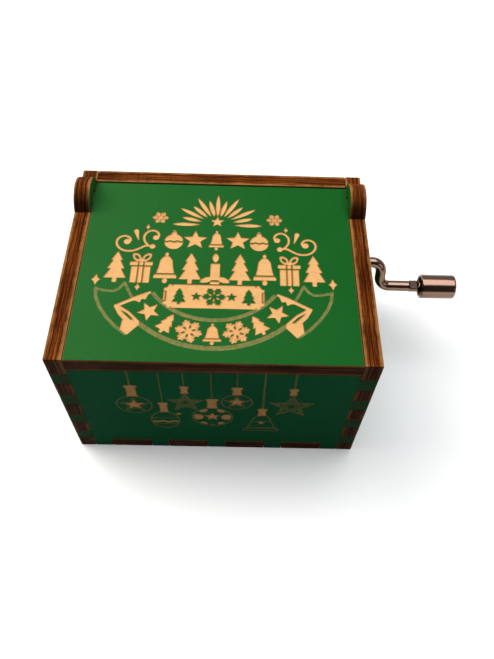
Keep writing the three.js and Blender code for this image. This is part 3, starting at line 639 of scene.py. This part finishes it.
def frontDistances(x, z):
    art = frontArt
    line = art["line"]
    deep = []
    thin = []
    for name in ("starBauble", "bandBauble", "smallStar", "bigBauble", "secondStarBauble", "bell", "bigStar"):
        cx, cz, r, top = art[name]
        heavy = 1.7 if name in ("starBauble", "bell", "bigStar") else 1
        thin.append(bar(x, z, (cx, top), (cx, 35.2), art["string"] * heavy))
    for name in ("starBauble", "secondStarBauble"):
        cx, cz, r, top = art[name]
        ball = disc(x, z, cx, cz, r)
        thin.append(np.abs(ball) - line)
        thin.append(np.abs(standing(star, x, z, cx, cz - 0.1, r * 1.75)) - line * 0.8)
        deep.append(standing(star, x, z, cx, cz - 0.1, r * 1.30))
        deep.append(cap(x, z, cx, cz + r - 0.2, top - 0.2, 0.37 * r))
    cx, cz, r, top = art["bandBauble"]
    tall = art["bandTall"]
    ball = disc(x, cz + (z - cz) / tall, cx, cz, r)
    thin.append(np.abs(ball) - line)
    deep.append(slab(x, z, cx + 3.05, cz + 3.0, 0.55, 0.45, 0.2))
    wave = 0.5 * np.abs(((x - cx) * 0.75 + 0.5) % 2 - 1)
    deep.append(np.maximum(np.abs(z - cz + 1.1 - wave) - 0.40, ball + 0.15))
    thin.append(np.maximum(np.abs(z - cz - 0.9) - line, ball))
    thin.append(np.maximum(np.abs(z - cz + 1.9) - line, ball))
    deep.append(cap(x, z, cx, cz + r * tall - 0.2, top, 1.1))
    cx, cz, r, top = art["bigBauble"]
    ball = disc(x, z, cx, cz, r)
    ax = np.abs(x - cx)
    thin.append(np.abs(ball) - line)
    deep.append(standing(star, x, z, cx, cz + 0.1, r * 0.95))
    spots = [disc(ax, z, 3.2, cz - 0.1, 1.35), disc(ax, z, 2.0, cz + 3.2, 1.05),
             disc(ax, z, 2.0, cz - 3.3, 0.9), disc(ax, z, 0, cz - 4.2, 0.6)]
    deep.append(np.maximum(np.minimum.reduce(spots), ball + 0.25))
    deep.append(cap(x, z, cx, cz + r - 0.2, top, 1.35))
    for name in ("smallStar", "bigStar"):
        cx, cz, r, top = art[name]
        for share in (2.0, 1.45, 0.8):
            thin.append(np.abs(standing(star, x, z, cx, cz, r * share)) - line)
        deep.append(cap(x, z, cx, cz + r - 0.1, top, 0.95))
    cx, cz, r, top = art["bell"]
    side = [(0, 3.8), (1.0, 3.5), (1.8, 2.3), (2.3, 0.3), (2.9, -1.9), (3.8, -3.2), (3.8, -3.9)]
    shell = polygon(x - cx, z - cz, mirrored(side))
    thin.append(np.abs(shell) - line)
    for level in (2.7, 2.1, -1.0):
        thin.append(np.maximum(np.abs(z - cz + level) - line, shell))
    deep.append(cap(x, z, cx, cz + 3.5, top, 1.1))
    deep.append(standing(star, x, z, cx, cz + 0.1, 2.1))
    return np.minimum.reduce(deep), np.minimum.reduce(thin)


# grid lines from the steps: each stretch between two steps is split evenly to about its own spacing,
# with one extra line beside every step for the eased edge
def gridLines(steps, coarse, fine, fineSpan, ease):
    lines = []
    for a, b in zip(steps[:-1], steps[1:]):
        cuts = sorted({a, a + ease, b - ease, b} | {v for v in fineSpan if a + ease < v < b - ease})
        for p, q in zip(cuts[:-1], cuts[1:]):
            middle = (p + q) / 2
            spacing = fine if fineSpan[0] <= middle <= fineSpan[1] else coarse
            lines.append(np.linspace(p, q, max(1, int(round((q - p) / spacing))), endpoint=False))
    return np.append(np.concatenate(lines), steps[-1])


# a closed plate over the kept cells of a grid: front face at height -carve, back face at -thickness,
# walls along every edge between a kept cell and nothing; vertices on the outline are eased back
def carvedPlate(us, vs, keep, carve, thickness, ease):
    nu, nv = len(us), len(vs)
    u, v = np.meshgrid(us, vs)
    index = np.arange(nu * nv).reshape(nv, nu)
    padded = np.pad(keep, 1)
    around = padded[:-1, :-1].astype(int) + padded[:-1, 1:] + padded[1:, :-1] + padded[1:, 1:]
    rim = (around > 0) & (around < 4)
    front = np.where(rim, -ease, -carve)
    rear = np.where(rim, -thickness + ease, -thickness)
    count = nu * nv
    heights = np.concatenate([front.ravel(), rear.ravel()])
    points = np.stack([np.tile(u.ravel(), 2), np.tile(v.ravel(), 2), heights], 1)
    a, b, c, d = index[:-1, :-1][keep], index[:-1, 1:][keep], index[1:, 1:][keep], index[1:, :-1][keep]
    quads = [np.stack([a, b, c, d], 1), np.stack([a, d, c, b], 1) + count]
    low = padded[1:-1, :-1] != padded[1:-1, 1:]
    kept = padded[1:-1, 1:] & low
    gone = padded[1:-1, :-1] & low
    p, q = index[:-1, :], index[1:, :]
    quads.append(np.stack([p[kept], q[kept], q[kept] + count, p[kept] + count], 1))
    quads.append(np.stack([q[gone], p[gone], p[gone] + count, q[gone] + count], 1))
    low = padded[:-1, 1:-1] != padded[1:, 1:-1]
    kept = padded[1:, 1:-1] & low
    gone = padded[:-1, 1:-1] & low
    p, q = index[:, :-1], index[:, 1:]
    quads.append(np.stack([q[kept], p[kept], p[kept] + count, q[kept] + count], 1))
    quads.append(np.stack([p[gone], q[gone], q[gone] + count, p[gone] + count], 1))
    quads = np.concatenate(quads)
    used, compact = np.unique(quads, return_inverse=True)
    return points[used], compact.reshape(quads.shape), used


def addMesh(name, points, faces, body, material, attributes=None, sharp=40):
    mesh = bpy.data.meshes.new(name)
    mesh.from_pydata((np.asarray(points) * mm).tolist(), [], np.asarray(faces).tolist())
    for key, values in (attributes or {}).items():
        layer = mesh.attributes.new(key, "FLOAT", "POINT")
        layer.data.foreach_set("value", np.asarray(values, np.float32))
    mesh.materials.append(material)
    mesh.shade_smooth()
    mesh.set_sharp_from_angle(angle=radians(sharp))
    piece = bpy.data.objects.new(name, mesh)
    scene.collection.objects.link(piece)
    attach(piece, body)
    return piece


carving = {"depth": 0.16, "lineDepth": 0.07, "ease": 0.09}


# carve = depth where the distance is well inside, easing to nothing just past the outline
def carveDepth(deep, thin):
    fall = np.clip((0.07 - deep) / 0.17, 0, 1)
    lineFall = np.clip((0.06 - thin) / 0.14, 0, 1)
    return np.maximum(carving["depth"] * fall * fall * (3 - 2 * fall), carving["lineDepth"] * lineFall)


# the three distances as vertex values; the rear face only knows its outline
def plateFields(deep, thin, edge, used):
    plain = np.ones(deep.size)
    return {
        "carvedDistance": np.concatenate([np.clip(deep, -1, 1).ravel(), plain])[used],
        "scorchedDistance": np.concatenate([np.clip(thin, -1, 1).ravel(), plain])[used],
        "edgeDistance": np.tile(np.clip(edge, -2, 1).ravel(), 2)[used],
    }


def makeLid():
    lo, hi = (np.array(c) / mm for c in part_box("lid_panel"))
    left, right, front, rear = lidArt["outline"]
    us = gridLines([left, right], 0.9, 0.215, (-25.6, 25.0), carving["ease"])
    vs = gridLines([front, rear], 0.9, 0.215, (-23.0, 19.3), carving["ease"])
    u, v = np.meshgrid(us, vs)
    deep, thin = lidDistances(u, v)
    edge = slab(u, v, (left + right) / 2, (front + rear) / 2, (right - left) / 2, (rear - front) / 2)
    keep = np.ones((len(vs) - 1, len(us) - 1), bool)
    carve = carveDepth(deep, thin)
    points, faces, used = carvedPlate(us, vs, keep, carve, plyLook["thickness"], carving["ease"])
    points[:, 2] += hi[2]
    fields = plateFields(deep, thin, edge, used)
    material = plywood("lidPly", 2, lo[2], plyLook["paint"], plyLook["paintDeep"], 1.0)
    lid = addMesh("lidBoard", points, faces, "lid", material, fields)
    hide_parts("lid_panel")
    return lid


# peg: a rounded-square profile |y|^8 + |z|^8 = 1 carried along X and drawn in to a point at each end
pegs = {"root": 27.8, "shoulder": 31.85, "tip": 31.95, "halfDepth": 1.6, "halfHeight": 1.72, "sides": 40}


def makePegs():
    sides = pegs["sides"]
    hingeX, hingeY, hingeZ = (c / mm for c in jointPlace["lid_hinge"])
    around = np.linspace(0, 2 * pi, sides, endpoint=False)
    c, s = np.cos(around), np.sin(around)
    reach = 1 / (np.abs(c) ** 8 + np.abs(s) ** 8) ** (1 / 8)
    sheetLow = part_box("lid_panel")[0][2] / mm
    material = plywood("pegPly", 2, sheetLow, plyLook["paint"], plyLook["paintDeep"])
    for side, name in ((-1, "lidPegLeft"), (1, "lidPegRight")):
        root, tip = pegs["root"], pegs["tip"]
        stations = [(root, 0.0), (root, 1.0), (pegs["shoulder"], 1.0), (tip, 0.94), (tip, 0.0)]
        rings = []
        for x, k in stations:
            y = hingeY + pegs["halfDepth"] * k * c * reach
            z = hingeZ + pegs["halfHeight"] * k * s * reach
            rings.append(np.stack([np.full(sides, side * x), y, z], 1))
        points = np.concatenate(rings)
        i = np.arange(sides)
        quads = []
        for k in range(len(stations) - 1):
            a, b = k * sides + i, k * sides + (i + 1) % sides
            ring = [a, b, b + sides, a + sides] if side > 0 else [b, a, a + sides, b + sides]
            quads.append(np.stack(ring, 1))
        peg = addMesh(name, points, np.concatenate(quads), "lid", material)
        closePoles(peg)
        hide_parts("lid_panel")


def closePoles(piece):
    work = bmesh.new()
    work.from_mesh(piece.data)
    bmesh.ops.remove_doubles(work, verts=work.verts, dist=1e-7)
    bmesh.ops.recalc_face_normals(work, faces=work.faces)
    work.to_mesh(piece.data)
    work.free()


def makeFront():
    lo, hi = (np.array(c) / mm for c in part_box("front_panel"))
    inner, outer, step = 28.4, 32.0, 4.314
    tabs = [(m - 4.55, m + 4.55) for m in (-19.8, -6.6, 6.6, 19.8)]
    fingers = [3.5 + i * step for i in range(8)]
    uSteps = [-outer, -inner] + [t for pair in tabs for t in pair] + [inner, outer]
    vSteps = [0.0, 3.6] + [z for i, z in enumerate(fingers) if i] + [hi[2]]
    us = gridLines(uSteps, 1.2, 0.2, (-21.2, 21.2), carving["ease"])
    vs = gridLines(vSteps, 1.2, 0.2, (9.2, 35.2), carving["ease"])
    u, v = np.meshgrid(us, vs)
    deep, thin = frontDistances(u, v)
    edge = slab(u, v, 0, hi[2] / 2, inner, hi[2] / 2)
    for i in (1, 3, 5):
        edge = np.minimum(edge, slab(np.abs(u), v, 0, (fingers[i] + fingers[i + 1]) / 2, outer, step / 2))
    for a, b in tabs:
        edge = np.maximum(edge, -slab(u, v, (a + b) / 2, 0, (b - a) / 2, 3.6))
    mu = (us[:-1] + us[1:]) / 2
    mv = (vs[:-1] + vs[1:]) / 2
    cu, cv = np.meshgrid(mu, mv)
    seat = np.floor((cv - 3.5) / step)
    finger = (np.abs(cu) > inner) & ((seat % 2 != 0) | (cv < 3.6) | (cv > fingers[-1]))
    notch = np.zeros_like(finger)
    for a, b in tabs:
        notch |= (cu > a) & (cu < b) & (cv < 3.6)
    keep = ~(finger | notch)
    carve = carveDepth(deep, thin)
    points, faces, used = carvedPlate(us, vs, keep, carve, plyLook["thickness"], carving["ease"])
    points = np.stack([points[:, 0], lo[1] - points[:, 2], points[:, 1]], 1)
    fields = plateFields(deep, thin, edge, used)
    # painted shade: the front panel gets darker copies of the paint and of the carving
    paints = plyLook["frontShadedPaint"], plyLook["frontShadedPaintDeep"]
    material = plywood("frontPly", 1, lo[1], *paints, plyLook["frontCarvingShade"], plyLook["frontGloss"])
    front = addMesh("frontBoard", points, faces, "case", material, fields)
    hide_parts("front_panel")


makeLid()
makePegs()
print("lid carved")
makeFront()
print("front carved")


# the other boards and the movement: merged copies of the CAD nodes with eased edges

def easedCopy(node, name, material, edge, segments=2):
    source = nodes[node]
    mesh = source.data.copy()
    mesh.name = name
    work = bmesh.new()
    work.from_mesh(mesh)
    bmesh.ops.remove_doubles(work, verts=work.verts, dist=2e-6)
    bmesh.ops.dissolve_limit(work, angle_limit=radians(0.6), verts=work.verts, edges=work.edges)
    work.to_mesh(mesh)
    work.free()
    mesh.materials.clear()
    mesh.materials.append(material)
    mesh.shade_smooth()
    mesh.set_sharp_from_angle(angle=radians(35))
    piece = bpy.data.objects.new(name, mesh)
    scene.collection.objects.link(piece)
    if edge:
        bevel = piece.modifiers.new("easedEdge", "BEVEL")
        bevel.width = edge * mm
        bevel.segments = segments
        bevel.limit_method = "ANGLE"
        bevel.angle_limit = radians(35)
        bevel.harden_normals = True
        bevel.use_clamp_overlap = True
    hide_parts(node)
    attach(piece, bodyOf[node])
    return piece


boards = {  # piece name, axis through the sheet, low side in mm
    "side_panel_left": ("leftBoard", 0, -32.0),
    "side_panel_right": ("rightBoard", 0, 28.5),
    "back_panel": ("backBoard", 1, 22.0),
    "bottom_panel": ("bottomBoard", 2, 0.0),
}


def makeBoards():
    for node, (name, axis, low) in boards.items():
        material = plywood(name + "Ply", axis, low, plyLook["paint"], plyLook["paintDeep"])
        easedCopy(node, name, material, 0.14)


makeBoards()
print("boards eased")

movement = {  # piece name, eased edge in mm
    "bedplate": ("bedplateCasting", 0.18),
    "comb": ("toneComb", 0.05),
    "worm_bracket": ("wormYoke", 0.12),
    "arbor_bracket_front": ("frontArborBracket", 0.12),
    "arbor_bracket_rear": ("rearArborBracket", 0.12),
    "drive_gear": ("driveWheel", 0.06),
    "drum_cap_front": ("frontDrumPlug", 0.1),
    "drum_cap_rear": ("rearDrumPlug", 0.1),
    "cylinder_arbor": ("drumArbor", 0),
    "cylinder_drum": ("pinnedDrum", 0),
    "worm_shaft": ("wormSpindle", 0),
    "worm_snap_ring": ("snapRing", 0.06),
    "comb_screw_front": ("frontCombScrew", 0.06),
    "comb_screw_rear": ("rearCombScrew", 0.06),
    "arbor_screw_front": ("frontArborScrew", 0.06),
    "arbor_screw_rear": ("rearArborScrew", 0.06),
    "worm_screw_left": ("leftYokeScrew", 0.06),
    "worm_screw_right": ("rightYokeScrew", 0.06),
    "bedplate_screw_1": ("frontLeftBedScrew", 0.05),
    "bedplate_screw_2": ("frontRightBedScrew", 0.05),
    "bedplate_screw_3": ("rearLeftBedScrew", 0.05),
}


def makeMovement():
    for node, (name, edge) in movement.items():
        easedCopy(node, name, metals[slotOf[node]], edge)
    for i in range(1, 6):
        easedCopy("comb_weight_%d" % i, "tuningWeight%d" % i, metals["soft_lead"], 0.15)


makeMovement()
print("movement finished")


# crank wire and knob

crank = {
    "wire": 1.27, "bend": 2.4, "armX": 38.5, "from": 18.3, "to": 55.3,
    "crimp": {"from": 45.6, "to": 48.2, "flat": 0.62, "spread": 0.14},
    "knob": {"from": 48.5, "to": 56.8, "radius": 2.9, "wall": 0.6, "recess": 1.0, "round": 0.55},
}
shaftPlace = np.array(jointPlace["crank_turn"]) / mm
gripPlace = np.array(jointPlace["knob_spin"]) / mm
arm = (gripPlace - shaftPlace) * [0, 1, 1]
armLength = float(np.linalg.norm(arm))
downWay = arm / armLength


# centre line: straight, quarter turn, straight, quarter turn, straight, sampled by arc length;
# returned as how far out, how far down the arm, and the angle of the line
def crankLine():
    r = crank["bend"]
    first = crank["armX"] - r - crank["from"]
    middle = armLength - 2 * r
    last = crank["to"] - crank["armX"] - r
    quarter = r * pi / 2
    s = np.concatenate([
        np.linspace(0, first, 30, endpoint=False),
        first + np.linspace(0, quarter, 24, endpoint=False),
        first + quarter + np.linspace(0, middle, 6, endpoint=False),
        first + quarter + middle + np.linspace(0, quarter, 24, endpoint=False),
        first + 2 * quarter + middle + np.linspace(0, last, 160),
    ])
    a = np.clip((s - first) / r, 0, pi / 2)
    b = np.clip((s - first - quarter - middle) / r, 0, pi / 2)
    down = r * (1 - np.cos(a)) + np.clip(s - first - quarter, 0, middle) + r * np.sin(b)
    out = crank["from"] + np.minimum(s, first) + r * np.sin(a) + r * (1 - np.cos(b))
    return out + np.maximum(s - first - 2 * quarter - middle, 0), down, a - b


# wire: a circle carried square to the line; the crimp cuts it flat above and below and spreads it sideways
def makeCrankWire():
    out, down, lean = crankLine()
    sideWay = np.array([0, downWay[2], -downWay[1]])
    around = np.linspace(0, 2 * pi, 36, endpoint=False)
    ends = np.ones_like(out)
    ends[[0, -1]] = 0.0
    ends[[1, -2]] = 0.92
    normal = np.cos(lean)[:, None] * downWay - np.sin(lean)[:, None] * np.array([1.0, 0, 0])
    offset = (np.cos(around)[None, :, None] * normal[:, None, :] + np.sin(around)[None, :, None] * sideWay)
    offset = offset * (crank["wire"] * ends)[:, None, None]
    crimp = crank["crimp"]
    share = np.clip((out - crimp["from"]) / (crimp["to"] - crimp["from"]), 0, 1)
    press = (np.clip(np.sin(pi * share) * 1.8, 0, 1) * (down > armLength / 2))[:, None]
    limit = crank["wire"] * (1 - press) + crimp["flat"] * press
    offset[:, :, 2] = np.clip(offset[:, :, 2], -limit, limit)
    offset[:, :, 1] *= 1 + crimp["spread"] * press
    centre = shaftPlace * [0, 1, 1] + out[:, None] * np.array([1.0, 0, 0]) + down[:, None] * downWay
    n = len(around)
    i, j = np.meshgrid(np.arange(len(out) - 1), np.arange(n), indexing="ij")
    a, b = i * n + j, i * n + (j + 1) % n
    quads = np.stack([a, a + n, b + n, b], -1).reshape(-1, 4)
    points = (centre[:, None, :] + offset).reshape(-1, 3)
    wire = addMesh("crankWire", points, quads, "crank", metals["nickel"])
    closePoles(wire)
    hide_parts("crank_rod")


# knob: the outline (x, radius) turned about the grip's axis; hollow at its inner end, rounded at the
# outer one
def makeKnob():
    k = crank["knob"]
    bore = crank["wire"] + 0.06
    corner = np.linspace(0, pi / 2, 9)
    lip = np.linspace(0, pi, 7)
    inside = k["radius"] - k["wall"]
    profile = np.concatenate([
        [(crank["to"] + 0.2, 0.0), (crank["to"] + 0.2, bore), (k["from"] + k["recess"], bore)],
        [(k["from"] + k["recess"], inside - 0.25), (k["from"] + k["recess"] - 0.25, inside)],
        np.stack([k["from"] + 0.3 - 0.3 * np.sin(lip), inside + 0.3 - 0.3 * np.cos(lip)], 1),
        [(k["from"] + 2.0, k["radius"]), (k["from"] + 5.0, k["radius"])],
        np.stack([k["to"] - k["round"] * (1 - np.sin(corner)),
                  k["radius"] - k["round"] * (1 - np.cos(corner))], 1),
        [(k["to"], 1.2), (k["to"], 0.0)],
    ])
    count = 96
    around = np.linspace(0, 2 * pi, count, endpoint=False)
    x = np.repeat(profile[:, 0], count)
    y = gripPlace[1] + np.outer(profile[:, 1], np.cos(around)).ravel()
    z = gripPlace[2] + np.outer(profile[:, 1], np.sin(around)).ravel()
    i, j = np.meshgrid(np.arange(len(profile) - 1), np.arange(count), indexing="ij")
    a, b = i * count + j, i * count + (j + 1) % count
    quads = np.stack([a, b, b + count, a + count], -1).reshape(-1, 4)
    knob = addMesh("crankKnob", np.stack([x, y, z], 1), quads, "knob", metals["nickel"])
    closePoles(knob)
    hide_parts("crank_knob")


makeCrankWire()
makeKnob()
print("crank bent")
